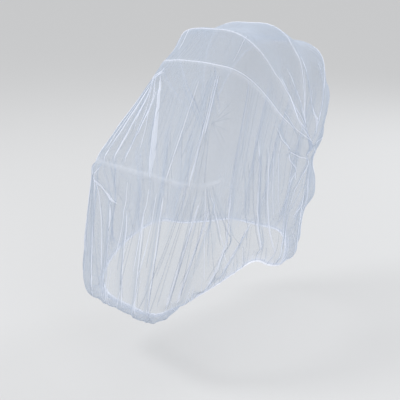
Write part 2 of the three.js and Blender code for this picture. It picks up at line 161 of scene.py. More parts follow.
FOLDS = [
    # from the brim down to the ledge
    main_fold("brim band", (-76, -112, 848), (56, -284, 616), width=20, rise=(12, 9), band=(2.6, 14)),
    main_fold("slope 1", (-106, -80, 878), (-206, -266, 616), width=15, rise=(3, 6), band=(1.4, 2.2)),
    main_fold("slope 2", (-96, -86, 874), (-160, -270, 622), width=14, rise=(9, 10), band=(2, 4.2)),
    main_fold("slope 3", (-84, -98, 862), (-118, -266, 631), width=14, rise=(9, 10), band=(1.6, 4.6)),
    main_fold("slope 4", (-66, -140, 805), (-70, -268, 634), width=15, rise=(6, 9), band=(1.5, 2.5)),
    main_fold("slope 5", (120, -80, 866), (200, -262, 616), width=17, rise=(8, 9), band=(1.2, 3)),
    main_fold("slope 6", (70, -100, 850), (124, -280, 616), width=16, rise=(6, 6), band=(0.7, 1.5)),
    # below the ledge, at the foot end
    main_fold("left corner", (-214, -284, 590), (-196, -368, 245), width=17, rise=(7, 3), band=(4, 6)),
    main_fold("foot 1", (-180, -296, 576), (-106, -388, 246), width=16, rise=(8, 6), band=(3, 4)),
    main_fold("foot slant", (-200, -289, 587), (-88, -316, 508), width=15, rise=(8, 5), band=(3, 6)),
    main_fold("foot 2", (-94, -319, 493), (-28, -391, 226), width=17, rise=(8, 6), band=(3, 2)),
    main_fold("foot 3", (-20, -316, 490), (44, -391, 228), width=17, rise=(6, 6), band=(2, 2)),
    main_fold("foot 4", (60, -314, 500), (104, -391, 230), width=17, rise=(6, 8), band=(2, 3)),
    main_fold("foot 5", (130, -300, 560), (156, -386, 240), width=17, rise=(8, 9), band=(2, 3)),
    # right side
    main_fold("right corner", (233, -263, 560), (196, -352, 275), width=16, rise=(14, 12), band=(3, 5)),
    main_fold("right corner twin", (238, -226, 545), (208, -322, 285), width=15, rise=(13, 12), band=(3, 4)),
    main_fold("right side 1", (230, -134, 557), (233, -156, 420), width=17, rise=(7, 10), band=(2.4, 5),
              goes_on=True),
    main_fold("right side 1 low", (233, -154, 425), (238, -251, 298), width=17, rise=(10, 12), band=(2, 5)),
    main_fold("right side 2", (228, -38, 456), (243, -191, 335), width=16, rise=(6, 13), band=(2, 6)),
    main_fold("right side 3", (232, -16, 690), (246, -24, 370), width=16, rise=(6, 14), band=(2, 4)),
    main_fold("right side 4", (233, 72, 722), (236, 110, 650), width=15, rise=(6, 10), band=(1.4, 3.2),
              goes_on=True),
    main_fold("right side 4 low", (236, 104, 656), (237, 166, 542), width=17, rise=(10, 7), band=(2.6, 3.2)),
    main_fold("right side 5", (232, 150, 590), (241, 60, 330), width=17, rise=(9, 10), band=(3, 4)),
    main_fold("right side 6", (226, 215, 590), (238, 150, 300), width=18, rise=(10, 10), band=(3, 4)),
    # gathered towards the hood's right corner
    main_fold("corner pull 1", (207, 103, 861), (231, 226, 632), width=14, rise=(5, 12), band=(1, 4.2)),
    main_fold("corner pull low", (217, 114, 757), (228, 222, 620), width=13, rise=(5, 9), band=(0.9, 1.8)),
    main_fold("corner pull side", (236, 112, 645), (232, 206, 602), width=13, rise=(4, 8), band=(1, 1.8)),
    main_fold("corner pull 2", (195, 150, 877), (233, 226, 640), width=14, rise=(6, 12), band=(1, 4)),
    main_fold("corner pull 3", (193, 218, 909), (228, 262, 690), width=20, rise=(7, 13), band=(3, 7)),
    main_fold("corner pull 4", (185, 325, 882), (226, 284, 720), width=16, rise=(5, 9), band=(1, 2.6)),
    # head end
    main_fold("head 1", (170, 400, 800), (150, 290, 350), width=20, rise=(8, 12), band=(2, 5)),
    main_fold("head 2", (96, 418, 790), (80, 300, 350), width=20, rise=(8, 13), band=(3, 4)),
    main_fold("head 3", (10, 418, 760), (-14, 300, 345), width=21, rise=(6, 12), band=(2, 5)),
    main_fold("head 4", (-92, 416, 780), (-84, 300, 345), width=20, rise=(9, 10), band=(3, 3)),
    main_fold("head 5", (-172, 396, 790), (-160, 284, 345), width=19, rise=(8, 12), band=(2, 5)),
    # left side
    main_fold("left pull 1", (-217, 126, 800), (-226, 228, 640), width=16, rise=(5, 10), band=(1, 2.4)),
    main_fold("left pull 2", (-200, 246, 870), (-219, 292, 690), width=17, rise=(6, 10), band=(1, 2.4)),
    main_fold("left side 1", (-232, 170, 600), (-238, 120, 330), width=18, rise=(8, 10), band=(3, 4)),
    main_fold("left side 2", (-232, 60, 640), (-241, 20, 360), width=17, rise=(6, 12), band=(2, 4)),
    main_fold("left side 3", (-236, -70, 600), (-240, -80, 345), width=18, rise=(8, 10), band=(3, 3)),
    main_fold("left side 4", (-238, -170, 580), (-232, -190, 310), width=17, rise=(9, 10), band=(2, 4)),
    main_fold("left side 5", (-236, -240, 560), (-222, -290, 290), width=16, rise=(10, 10), band=(3, 4)),
]
FOLD_REACH = 60
TROUGH_SHARE = 0.45
FOLD_PLEAT_RISE = 1.5


# Fans of fine pleats: "count" pleats start between two points and end between two others, each a little
# astray. "half" is about the half-width of the band in which such a pleat lies folded over.
def pleat_fan(name, count, rise, half, start, end):
    return {"name": name, "count": count, "rise": rise, "half": half,
            "start": np.array(start, float), "end": np.array(end, float)}


FANS = [
    # the brim's left corner to the left part of the ledge
    pleat_fan("brim left", count=11, rise=3, half=1.9,
              start=((-108, -78, 874), (-84, -96, 856)), end=((-222, -262, 612), (-30, -268, 650))),
    pleat_fan("brim middle", count=5, rise=2, half=1.5,
              start=((-60, -120, 850), (50, -128, 846)), end=((-20, -262, 650), (120, -262, 644))),
    pleat_fan("brim right", count=7, rise=3, half=1.8,
              start=((96, -92, 860), (128, -70, 868)), end=((120, -262, 640), (214, -236, 632))),
    # from the ledge's corners down to the toe
    pleat_fan("left ledge down", count=9, rise=3.5, half=2.2,
              start=((-222, -262, 600), (-176, -292, 590)), end=((-206, -352, 262), (-60, -388, 250))),
    pleat_fan("foot middle", count=9, rise=2, half=1.5,
              start=((-120, -300, 570), (130, -300, 565)), end=((-90, -390, 236), (120, -388, 236))),
    pleat_fan("right ledge down", count=7, rise=3.5, half=2,
              start=((196, -288, 585), (236, -250, 590)), end=((110, -386, 240), (216, -320, 262))),
    pleat_fan("right ledge back", count=8, rise=3.5, half=2.2,
              start=((236, -246, 592), (238, -214, 596)), end=((222, -290, 275), (240, -60, 352))),
    pleat_fan("left ledge back", count=7, rise=3.5, half=2,
              start=((-236, -246, 592), (-238, -200, 596)), end=((-222, -290, 275), (-240, -40, 345))),
    # across the sides
    pleat_fan("right hang", count=9, rise=3, half=1.9,
              start=((232, -90, 620), (222, 100, 690)), end=((240, -70, 370), (238, 100, 330))),
    pleat_fan("left hang", count=10, rise=3, half=1.9,
              start=((-232, -120, 610), (-222, 140, 690)), end=((-240, -90, 360), (-238, 130, 320))),
    # gathered where the hood's lower corners hold the net
    pleat_fan("right pull up", count=7, rise=3, half=1.4,
              start=((230, 218, 616), (230, 238, 634)), end=((213, 90, 810), (176, 250, 930))),
    pleat_fan("right pull down", count=10, rise=4, half=2.2,
              start=((230, 212, 612), (228, 244, 606)), end=((240, 40, 330), (220, 226, 320))),
    pleat_fan("right pull back", count=7, rise=3.5, half=2,
              start=((226, 246, 626), (222, 258, 640)), end=((192, 400, 770), (196, 300, 420))),
    pleat_fan("left pull up", count=7, rise=2, half=1.1,
              start=((-222, 224, 640), (-224, 240, 652)), end=((-213, 90, 810), (-176, 250, 930))),
    pleat_fan("left pull down", count=9, rise=3, half=1.4,
              start=((-226, 216, 628), (-224, 250, 620)), end=((-240, 30, 330), (-220, 226, 320))),
    pleat_fan("left pull back", count=7, rise=2, half=1.1,
              start=((-220, 250, 640), (-218, 262, 650)), end=((-192, 400, 770), (-196, 300, 420))),
    # the head end
    pleat_fan("head hang", count=15, rise=3.5, half=2,
              start=((176, 404, 775), (-176, 404, 775)), end=((150, 286, 345), (-150, 286, 345))),
    # over the hood, ridge to ridge
    pleat_fan("canopy front", count=6, rise=1.2, half=1.2,
              start=((-150, -20, 880), (140, -24, 884)), end=((-120, 70, 962), (120, 66, 965))),
]
PLEAT_WIDTH = 7.5
PLEAT_REACH = 42
PLEAT_ASTRAY = 3
PLEAT_BOW = 6
PLEAT_TAPER = 28
PLEAT_TIGHT_SHARE = 0.4
FAN_SEED = 11

# What chance does to a fan's pleats: their spacing in steps, and shares of the half-width, the length and the
# rise. The half-width is changed again at each end.
FAN_UNEVENNESS = 0.42
FAN_HALVES = (0.5, 1.1)
FAN_LENGTHS = (0.6, 1.0)
FAN_RISES = (0.4, 1.1)
FAN_START_HALVES = (0.4, 1)
FAN_END_HALVES = (0.8, 1.7)

# Thin creases beside each main fold, up to a quarter shorter at each end
CREASES_PER_FOLD = 2
CREASE_HALVES = (0.8, 1.6)
CREASE_CUT = 0.25
CREASE_ASTRAY = 9

# A folded-over band is laid in steps along its pleat, evened out, and in columns across it. It is searched for
# from inside the sheet. It stands a little off the sheet along its middle, meets it at both edges, and overruns
# its fold at both ends. In a tight band the net is thicker still, but less so where the band is wide.
BAND_STEP = 8
LEAST_BAND_STEPS = 4
LEAST_BAND_SPOTS = 3
BAND_BLUNTNESS = 0.15
BAND_OVERRUNS = (4, 16)
BAND_EVENING = 8
BAND_SEARCH = 25
ANY_REACH = 10000
BAND_COLUMN = 4
BAND_LIFT = 1.1
BAND_SUNK = -0.1
TIGHT_BUNCHED = 1.3
LOOSE_BUNCHED = 0.1
SOFTENING_HALF = 14

# Gathers at the elastic: narrow pleats that start low at the edge, rise over GATHER_START, run up into the cloth
# and widen as they fade
GATHERS = 150
GATHER_UNEVENNESS = 0.6
GATHER_WIDTHS = (3.6, 8.0)
GATHER_WIDENING = 0.9
GATHER_RISES = (2.0, 5.0)
GATHER_HALVES = (0.8, 2.4)
GATHER_END_HALF = 0.4
GATHER_LENGTHS = (26, 150)
GATHER_FADE_FROM = 1.1
GATHER_DRIFT = 26
GATHER_AT_EDGE = 0.3
GATHER_START = 30
GATHER_TIGHT_SHARE = 0.5
GATHER_SEED = 5

# Sag of the cloth between two ridges of the hood that are SAG_SPAN degrees apart. It fades in above their axis.
SAG_DEPTH = 10
SAG_SPAN = 30
SAG_FADE = 220

# The small unevenness of cloth that was folded for storage: waves round the sheet, each with a count, a drift
# as it climbs and a beat in which it comes and goes. It calms down near the crown.
CRUMPLE_SIZE = 0.55
CRUMPLE_WAVES = 26
CRUMPLE_COUNTS = (34, 120)
CRUMPLE_DRIFT = 0.012
CRUMPLE_CLIMB = 3
CRUMPLE_BEATS = (70, 260)
CRUMPLE_BEAT_STARTS = (0, 6.28)
CRUMPLE_LOBES = (1, 5)
CRUMPLE_SEED = 3
CROWN_CALM = 120

# Where the cloth bends over a ridge of the hood, and half as high at the ledge, it stands up in a narrow welt.
# It fades in above the hood's axis, and along the ledge towards the foot end.
WELT_RISE = 2.4
WELT_WIDTH = 5.5
WELT_BUNCHED = 0.35
WELT_FROM = 60
WELT_FADE = 80
LEDGE_WELT_FROM = -150
LEDGE_WELT_FADE = 50
RIDGE_BAND_HALF = 1.7
RIDGE_BAND_FROM = 60

# The net is bunched at the elastic, and less so up to this far from it
BUNCHED_AT_EDGE = 0.9
BUNCHED_REACH = 16

# The turned edge that holds the elastic: a second layer over the first rows
HEM_ROWS = 3
HEM_LIFT = 0.5
HEM_BUNCHED = 0.6

# The elastic: a rounded section that is a little thinner at every other rib
ELASTIC_WIDTH = 6.0
ELASTIC_THICKNESS = 2.4
ELASTIC_SIDES = 14
ELASTIC_ROUNDNESS = 0.6
ELASTIC_RIB = 0.14
SEAM_GAP = 0.3
CLOTH_THICKNESS = 1.2

# The tulle's colours, the thin one painted darker as painted shade, the light that one layer lets through, and the
# least slant at which that is reckoned
THIN_PAINTED_SHADE_COLOUR = (0.46, 0.515, 0.60, 1)
THICK_COLOUR = (0.86, 0.89, 0.97, 1)
VEIL_THROUGH = 0.735
LEAST_SLANT = 0.16
TRANSLUCENT_SHARE = 0.42

# Its threads: cells per metre, and how far from a thread's middle, in cells, its shade starts and ends to clear
THREAD_CELLS = 620
THREAD_UNEVENNESS = 0.15
THREAD_EDGES = (0.02, 0.16)
THREAD_SHADE = 0.82

# The elastic's two colours, the darker one painted shade in the hollows of its ribs, where its ribs reach them,
# and how fine the ribs are
ELASTIC_PAINTED_SHADE_COLOURS = ((0.3, (0.72, 0.75, 0.84, 1)), (0.7, (0.93, 0.94, 0.98, 1)))
ELASTIC_RIBS = 420

# The studio
STUDIO_COLOUR = (0.26, 0.263, 0.266, 1)
STUDIO_GLOW = 0.36
STUDIO_RADIUS = 8.0
STUDIO_SIDES = 128
COVE_RADIUS = 30.0
COVE_TURN = 50.0
COVE_STEPS = 12
WORLD_COLOUR = (0.84, 0.85, 0.87, 1)


# Shape of the tight cloth

def rounded(share, roundness):
    """A sine or cosine bent so that the circle it would draw turns into a round-cornered arch."""
    return np.sign(share) * abs(share) ** roundness


def ways_along(path):
    """How far each point of the path lies from its first."""
    return np.concatenate([[0], np.cumsum(np.linalg.norm(np.diff(path, axis=0), axis=1))])


def points_at(wanted, ways, path):
    """The points that lie the wanted ways along the path."""
    return np.stack([np.interp(wanted, ways, path[:, k]) for k in range(3)], axis=1)


def arch_points(ridge):
    """The points of a ridge's arch, from the +X side over its top."""
    angle = np.linspace(0, math.pi, ARCH_STEPS + 1)
    across = np.cos(angle)
    rise = ridge["reach"] * np.abs(np.sin(angle)) ** ARCH_ROUNDNESS
    lean = math.radians(ridge["lean"])
    return np.stack([
        HOOD_HALF_WIDTH * rounded(across, ARCH_ROUNDNESS),
        HOOD_AXIS["y"] - rise * math.cos(lean),
        HOOD_AXIS["z"] + rise * math.sin(lean),
    ], axis=1)


def level_points(level):
    """The points at the four rounded corners of a level outline."""
    points = []
    for side in (-1, 1):
        for end in (-1, 1):
            edge = level["front"] if end < 0 else level["back"]
            for step in range(CORNER_STEPS + 1):
                turn = math.radians(90) * step / CORNER_STEPS
                points.append((
                    side * (level["half"] - level["corner"] * (1 - math.cos(turn))),
                    edge - end * level["corner"] * (1 - math.sin(turn)),
                    level["height"],
                ))
    return np.array(points)


def tight_planes():
    """The planes of the tight shape, straight cloth from ridge to ridge, as normals and distances from HEART."""
    cloud = np.concatenate([arch_points(r) for r in RIDGES] + [level_points(v) for v in LEVELS])
    hull = bmesh.new()
    for point in cloud:
        hull.verts.new(point - HEART)
    bmesh.ops.convex_hull(hull, input=hull.verts)
    hull.normal_update()
    normals, distances = [], []
    for face in hull.faces:
        if face.calc_area() < LEAST_AREA:
            continue
        normal = np.array(face.normal)
        distance = float(normal @ np.array(face.verts[0].co))
        normals.append(normal if distance > 0 else -normal)
        distances.append(abs(distance))
    hull.free()
    return np.array(normals), np.array(distances)


def reach_along(planes, directions):
    """How far each direction goes from HEART before it meets one of the planes."""
    normals, distances = planes
    reach = np.full(len(directions), np.inf)
    for start in range(0, len(normals), PLANES_AT_ONCE):
        part = slice(start, start + PLANES_AT_ONCE)
        towards = directions @ normals[part].T
        hit = np.where(towards > LEAST_SLOPE, distances[part] / np.maximum(towards, LEAST_SLOPE), np.inf)
        reach = np.minimum(reach, hit.min(axis=1))
    return reach


def mouth_curve(count):
    """Evenly spaced points on the closed curve through the mouth's points, and its length."""
    knots = np.array(list(MOUTH.values()), float)
    fine = []
    for k in range(len(knots)):
        p0, p1, p2, p3 = (knots[(k + j) % len(knots)] for j in (-1, 0, 1, 2))
        d0, d1, d2 = (np.linalg.norm(b - a) ** 0.5 for a, b in ((p0, p1), (p1, p2), (p2, p3)))
        t1 = ((p1 - p0) / d0 - (p2 - p0) / (d0 + d1) + (p2 - p1) / d1) * d1
        t2 = ((p2 - p1) / d1 - (p3 - p1) / (d1 + d2) + (p3 - p2) / d2) * d1
        t = np.linspace(0, 1, MOUTH_STEPS, endpoint=False)[:, None]
        fine.append(p1 + t1 * t + (3 * (p2 - p1) - 2 * t1 - t2) * t**2 + (2 * (p1 - p2) + t1 + t2) * t**3)
    closed = np.concatenate(fine + [fine[0][:1]])
    ways = ways_along(closed)
    return points_at(np.linspace(0, ways[-1], count, endpoint=False), ways, closed), ways[-1]


def crown_line(y):
    """Height at which the rows of the hood start, at a given distance from the foot end."""
    ahead = (HOOD_AXIS["y"] - y) * math.tan(math.radians(RIDGES[0]["lean"]))
    behind = (y - HOOD_AXIS["y"]) * math.tan(math.radians(180 - RIDGES[-1]["lean"]))
    rise = np.maximum(np.maximum(ahead, behind), 0)
    return HOOD_AXIS["z"] + np.hypot(rise, CROWN_LINE_RISE)


def tight_sheet():
    """The tight cloth as rows of points (row, line, xyz), and the way from the mouth to each (row, line)."""
    planes = tight_planes()
    mouth, _ = mouth_curve(AROUND)
    first = mouth - HEART
    first /= np.linalg.norm(first, axis=1)[:, None]
    last = (CROWN - HEART) / np.linalg.norm(CROWN - HEART)
    angle = np.arccos(first @ last)
    share = np.linspace(0, 1, RAY_STEPS + 1)[:, None]
    low = np.sin((1 - share) * angle) / np.sin(angle)
    high = np.sin(share * angle) / np.sin(angle)
    rays = low[:, :, None] * first + high[:, :, None] * last
    reach = reach_along(planes, rays.reshape(-1, 3)).reshape(RAY_STEPS + 1, AROUND)
    samples = HEART + rays * reach[:, :, None]
    way = np.concatenate([
        np.zeros((1, AROUND)),
        np.cumsum(np.linalg.norm(np.diff(samples, axis=0), axis=2), axis=0),
    ])
    ledge = first_passed(way, samples[:, :, 2] - LEDGE_HEIGHT)
    brim = first_passed(way, samples[:, :, 2] - crown_line(samples[:, :, 1]))
    total = way[-1]
    lengths = np.concatenate([
        np.linspace(0, 1, SKIRT_STEPS + 1)[:, None] * ledge,
        ledge + np.linspace(0, 1, SLOPE_STEPS + 1)[1:, None] * (brim - ledge),
        brim + np.linspace(0, 1, HOOD_STEPS + 1)[1:, None] * (total - brim),
    ])
    rows = np.empty((len(lengths), AROUND, 3))
    for line in range(AROUND):
        rows[:, line] = points_at(lengths[:, line], way[:, line], samples[:, line])
    pull = mouth - samples[0]
    rows += pull * np.exp(-lengths / MOUTH_PULL)[:, :, None]
    return rows, lengths


def first_passed(way, margin):
    """The way at which margin first turns positive on each line, smoothed round the sheet."""
    found = np.argmax(margin > 0, axis=0)
    lines = np.arange(way.shape[1])
    below, above = margin[found - 1, lines], margin[found, lines]
    share = below / (below - above)
    place = way[found - 1, lines] + share * (way[found, lines] - way[found - 1, lines])
    return smooth_round(place, BOUND_PASSES, axis=0)


def smooth_round(values, times, axis):
    """The values drawn towards the mean of their neighbours, along an axis that closes on itself."""
    for _ in range(times):
        values = (np.roll(values, 1, axis=axis) + 2 * values + np.roll(values, -1, axis=axis)) / 4
    return values


def even_out(path, times):
    """The points or rows of a path, but for its ends, drawn towards the mean of their neighbours."""
    path = path.copy()
    for _ in range(times):
        path[1:-1] = (path[:-2] + 2 * path[1:-1] + path[2:]) / 4
    return path


def sheet_normals(rows, times):
    """Outward normals of the rows of points, smoothed a few times."""
    around = np.roll(rows, -1, axis=1) - np.roll(rows, 1, axis=1)
    up = np.gradient(rows, axis=0)
    normals = np.cross(around, up)
    normals[-1] = normals[-2].mean(axis=0)
    length = np.linalg.norm(normals, axis=2, keepdims=True)
    normals /= np.maximum(length, LEAST_LENGTH)
    for _ in range(times):
        spread = np.roll(normals, 1, axis=1) + np.roll(normals, -1, axis=1)
        padded = np.concatenate([normals[:1], normals, normals[-1:]])
        normals = 2 * normals + spread + padded[:-2] + padded[2:]
        normals /= np.linalg.norm(normals, axis=2, keepdims=True)
    return normals


# Slack, folds, pleats and gathers

def puff_height(points):
    """How far the puffs raise each point of the sheet, and the hollows lower it."""
    height = np.zeros(points.shape[:2])
    for centre, spread, rise in PUFFS.values():
        distance = np.linalg.norm(points - np.array(centre, float), axis=2)
        height += rise * np.exp(-(distance / spread) ** 2)
    return height


def sag_height(points):
    """The cloth dips a little between each ridge of the hood and the next."""
    behind = HOOD_AXIS["y"] - points[:, :, 1]
    above = points[:, :, 2] - HOOD_AXIS["z"]
    lean = np.degrees(np.arctan2(above, behind))
    height = np.zeros(points.shape[:2])
    for low, high in zip(RIDGES, RIDGES[1:]):
        share = np.clip((lean - low["lean"]) / (high["lean"] - low["lean"]), 0, 1)
        span = (high["lean"] - low["lean"]) / SAG_SPAN
        height -= SAG_DEPTH * span * np.sin(math.pi * share) ** 2
    return height * np.clip(above / SAG_FADE, 0, 1)


def fold_height(points, normals):
    """How far the main folds raise each point of the sheet."""
    height = np.zeros(points.shape[:2])
    for fold in FOLDS:
        start, end = fold["start"], fold["end"]
        span = np.linalg.norm(end - start)
        along = (end - start) / span
        offset = points - start
        nearest = np.clip(offset @ along, 0, span)
        offset -= nearest[:, :, None] * along
        depth = (offset * normals).sum(axis=2)
        across = np.linalg.norm(offset - depth[:, :, None] * normals, axis=2) / fold["width"]
        ridge = (1 - TROUGH_SHARE * across**2) * np.exp(-across**2 / 2)
        low, high = fold["rise"]
        height += np.where(np.abs(depth) < FOLD_REACH, (low + (high - low) * nearest / span) * ridge, 0)
    return height


def astray(chance, distance):
    """A shift by chance, up to a distance along each axis."""
    return np.array([chance.uniform(-1, 1) for _ in range(3)]) * distance


def two_fold_path(start, middle, end):
    """Points from start by way of middle to end, evened out where the two parts meet."""
    first, second = (
        int(np.linalg.norm(b - a) / BAND_STEP) for a, b in ((start, middle), (middle, end)))
    path = np.concatenate([
        start + (middle - start) * np.linspace(0, 1, first + 1)[:-1, None],
        middle + (end - middle) * np.linspace(0, 1, second + 1)[:, None],
    ])
    return even_out(path, BAND_EVENING)


def all_pleats():
    """Every pleat of the folds and fans: where it runs, its rise, its half-widths and if it is folded tight."""
    chance = random.Random(FAN_SEED)
    pleats = []
    for k, fold in enumerate(FOLDS):
        start, end = fold["start"], fold["end"]
        along = (end - start) / np.linalg.norm(end - start)
        pleats.append({
            "start": start - along * BAND_OVERRUNS[0], "end": end + along * BAND_OVERRUNS[1],
            "bow": astray(chance, PLEAT_BOW), "rise": FOLD_PLEAT_RISE, "halves": fold["band"], "tight": True,
        })
        if fold["goes on"]:
            pleats[-1]["path"] = two_fold_path(start, end, FOLDS[k + 1]["end"])
        if k > 0 and FOLDS[k - 1]["goes on"]:
            pleats[-1]["path"] = None
        for _ in range(CREASES_PER_FOLD):
            half = chance.uniform(*CREASE_HALVES)
            first = start + (end - start) * chance.uniform(0, CREASE_CUT)
            last = end - (end - start) * chance.uniform(0, CREASE_CUT)
            pleats.append({
                "start": first + astray(chance, CREASE_ASTRAY), "end": last + astray(chance, CREASE_ASTRAY),
                "bow": astray(chance, PLEAT_BOW), "rise": FOLD_PLEAT_RISE, "halves": (half, half), "tight": False,
            })
    for fan in FANS:
        for k in range(fan["count"]):
            share = (k + 0.5 + chance.uniform(-FAN_UNEVENNESS, FAN_UNEVENNESS)) / fan["count"]
            start, end = (
                near + (far - near) * share + astray(chance, PLEAT_ASTRAY)
                for near, far in (fan["start"], fan["end"])
            )
            half = fan["half"] * chance.uniform(*FAN_HALVES)
            pleats.append({
                "start": start, "end": start + (end - start) * chance.uniform(*FAN_LENGTHS),
                "bow": astray(chance, PLEAT_BOW), "rise": fan["rise"] * chance.uniform(*FAN_RISES),
                "halves": (half * chance.uniform(*FAN_START_HALVES), half * chance.uniform(*FAN_END_HALVES)),
                "tight": chance.random() < PLEAT_TIGHT_SHARE,
            })
    return pleats


def add_pleats(points, normals, pleats, height):
    """Adds the soft ridge under every pleat."""
    flat_points, flat_normals = points.reshape(-1, 3), normals.reshape(-1, 3)
    flat_height = height.reshape(-1)
    for pleat in pleats:
        start, end = pleat["start"], pleat["end"]
        span = np.linalg.norm(end - start)
        along = (end - start) / span
        low, high = np.minimum(start, end) - PLEAT_REACH, np.maximum(start, end) + PLEAT_REACH
        near = np.flatnonzero(((flat_points > low) & (flat_points < high)).all(axis=1))
        offset, normal = flat_points[near] - start, flat_normals[near]
        travel = offset @ along
        share = np.clip(travel / span, 0, 1)
        offset -= pleat["bow"] * (share * (1 - share) * 4)[:, None]
        offset -= travel[:, None] * along
        depth = (offset * normal).sum(axis=1)
        across = np.linalg.norm(offset - depth[:, None] * normal, axis=1)
        taper = np.clip(np.minimum(travel, span - travel) / PLEAT_TAPER, 0, 1)
        on_surface = np.clip(2 - 2 * np.abs(depth) / PLEAT_REACH, 0, 1)
        flat_height[near] += pleat["rise"] * taper * on_surface * np.exp(-(across / PLEAT_WIDTH) ** 2)


def add_gathers(points, lengths, mouth_length, height):
    """Adds the ridges that the elastic draws in at the mouth. Gives them back as pleats to fold over."""
    chance = random.Random(GATHER_SEED)
    lines = np.arange(AROUND) * mouth_length / AROUND
    mean_way = lengths.mean(axis=1)
    pleats = []
    for k in range(GATHERS):
        place = mouth_length * (k + chance.uniform(-GATHER_UNEVENNESS, GATHER_UNEVENNESS)) / GATHERS
        width = chance.uniform(*GATHER_WIDTHS)
        rise = chance.uniform(*GATHER_RISES)
        half = chance.uniform(*GATHER_HALVES)
        reach = GATHER_LENGTHS[0] + (GATHER_LENGTHS[1] - GATHER_LENGTHS[0]) * chance.random() ** 2
        drift = chance.uniform(-GATHER_DRIFT, GATHER_DRIFT)
        rows = int(np.searchsorted(mean_way, reach))
        up = lengths[:rows] / reach
        away = (lines - place - drift * up + mouth_length / 2) % mouth_length - mouth_length / 2
        start = GATHER_AT_EDGE + (1 - GATHER_AT_EDGE) * np.tanh(lengths[:rows] / GATHER_START)
        strength = rise * np.clip(GATHER_FADE_FROM - up, 0, 1) * start
        height[:rows] += strength * np.exp(-(away / (width * (1 + GATHER_WIDENING * up))) ** 2)
        first, last = (int(round(at / mouth_length * AROUND)) % AROUND for at in (place, place + drift))
        pleats.append({
            "start": points[1, first], "end": points[rows, last], "bow": np.zeros(3), "rise": 0,
            "halves": (half, half * GATHER_END_HALF), "tight": chance.random() < GATHER_TIGHT_SHARE,
        })
    return pleats


def add_welts(points, height, bunched):
    """Raises the welt where the cloth bends over each ridge of the hood and over the ledge."""
    behind = HOOD_AXIS["y"] - points[:, :, 1]
    above = points[:, :, 2] - HOOD_AXIS["z"]
    reach = np.hypot(behind, above)
    lean = np.arctan2(above, behind)
    for ridge in RIDGES:
        away = np.abs(lean - math.radians(ridge["lean"])) * reach
        on_hood = np.clip((above - WELT_FROM) / WELT_FADE, 0, 1)
        height += WELT_RISE * on_hood * np.exp(-(away / WELT_WIDTH) ** 2)
        bunched += WELT_BUNCHED * on_hood * np.exp(-(away / WELT_WIDTH) ** 2)
    ledge = np.exp(-((points[:, :, 2] - LEDGE_HEIGHT) / WELT_WIDTH) ** 2)
    on_ledge = np.clip((LEDGE_WELT_FROM - points[:, :, 1]) / LEDGE_WELT_FADE, 0, 1)
    height += WELT_RISE / 2 * on_ledge * ledge
    bunched += WELT_BUNCHED * on_ledge * ledge


def crumple(lengths):
    """Long soft creases up the cloth, each a sum of uneven waves round the sheet that drift as they climb."""
    chance = random.Random(CRUMPLE_SEED)
    height = np.zeros(lengths.shape)
    for _ in range(CRUMPLE_WAVES):
        count = chance.randint(*CRUMPLE_COUNTS)
        drift = chance.uniform(-CRUMPLE_DRIFT, CRUMPLE_DRIFT)
        beat = chance.uniform(*CRUMPLE_BEATS)
        phase = chance.uniform(0, 2 * math.pi)
        beat_start = chance.uniform(*CRUMPLE_BEAT_STARTS)
        lobes = np.sin(TURNS * chance.randint(*CRUMPLE_LOBES))
        strength = 0.5 + 0.5 * np.sin(lengths / beat + beat_start + 2 * lobes)
        height += strength * np.sin(count * TURNS + drift * lengths * CRUMPLE_CLIMB + phase) / CRUMPLE_WAVES**0.5
    return CRUMPLE_SIZE * height


def hung_sheet():
    """The finished rows of points, how bunched the net is there, the way up from the mouth, and the pleats."""
    rows, lengths = tight_sheet()
    _, mouth_length = mouth_curve(AROUND)
    for _ in range(ROUNDING_PASSES):
        rows = even_out(rows, 1)
        rows[1:-1] = smooth_round(rows[1:-1], 1, axis=1)
    normals = sheet_normals(rows, NORMAL_PASSES)
    to_crown = np.clip((lengths[-1] - lengths) / CROWN_CALM, 0, 1)
    height = puff_height(rows) + sag_height(rows) + fold_height(rows, normals) + crumple(lengths) * to_crown
    bunched = BUNCHED_AT_EDGE * np.exp(-lengths / BUNCHED_REACH)
    pleats = all_pleats()
    add_pleats(rows, normals, pleats, height)
    pleats += add_gathers(rows, lengths, mouth_length, height)
    add_welts(rows, height, bunched)
    hung = rows + height[:, :, None] * normals
    hung[-1] = hung[-1].mean(axis=0)
    return hung, bunched, lengths, pleats


def join_rows(faces, low, low_count, high, high_count):
    """Faces between two rows: equal rows, a row of half as many points, or the single point at the crown."""
    for i in range(low_count):
        a, b = low + i, low + (i + 1) % low_count
        if high_count == 1:
            faces.append((a, b, high))
        elif high_count == low_count:
            faces.append((a, b, high + (i + 1) % high_count, high + i))
        elif i % 2 == 0:
            faces.append((a, b, high + i // 2))
        else:
            following = high + (i + 1) // 2 % high_count
            faces.append((a, b, following, high + i // 2))


def new_mesh(name, points, faces):
    """A smooth mesh object, its points brought from millimetres above the floor into the row frame."""
    mesh = bpy.data.meshes.new(name)
    mesh.from_pydata([tuple(p) for p in (np.array(points) - HOOD_TOP) / MM_IN_METRE], [], faces)
    mesh.polygons.foreach_set("use_smooth", [True] * len(faces))
    mesh.update()
    piece = bpy.data.objects.new(name, mesh)
    bpy.context.scene.collection.objects.link(piece)
    return piece


class Cloth:
    """The net's mesh as it grows: points, faces, how bunched each point is, and its place on the flat cut."""

    def __init__(self):
        self.points, self.faces, self.bunched, self.flat = [], [], [], []

    def add(self, points, bunched, flat):
        first = len(self.points)
        self.points.extend(points)
        self.bunched.extend(bunched)
        self.flat.extend(flat)
        return first


def cut_places(lengths, row, chosen=slice(None)):
    """Where the chosen points of a row lie on the flat cut, in metres from the crown's place."""
    radius = (lengths[-1] - lengths[row])[chosen] / MM_IN_METRE
    return zip(radius * np.cos(TURNS[chosen]), radius * np.sin(TURNS[chosen]))


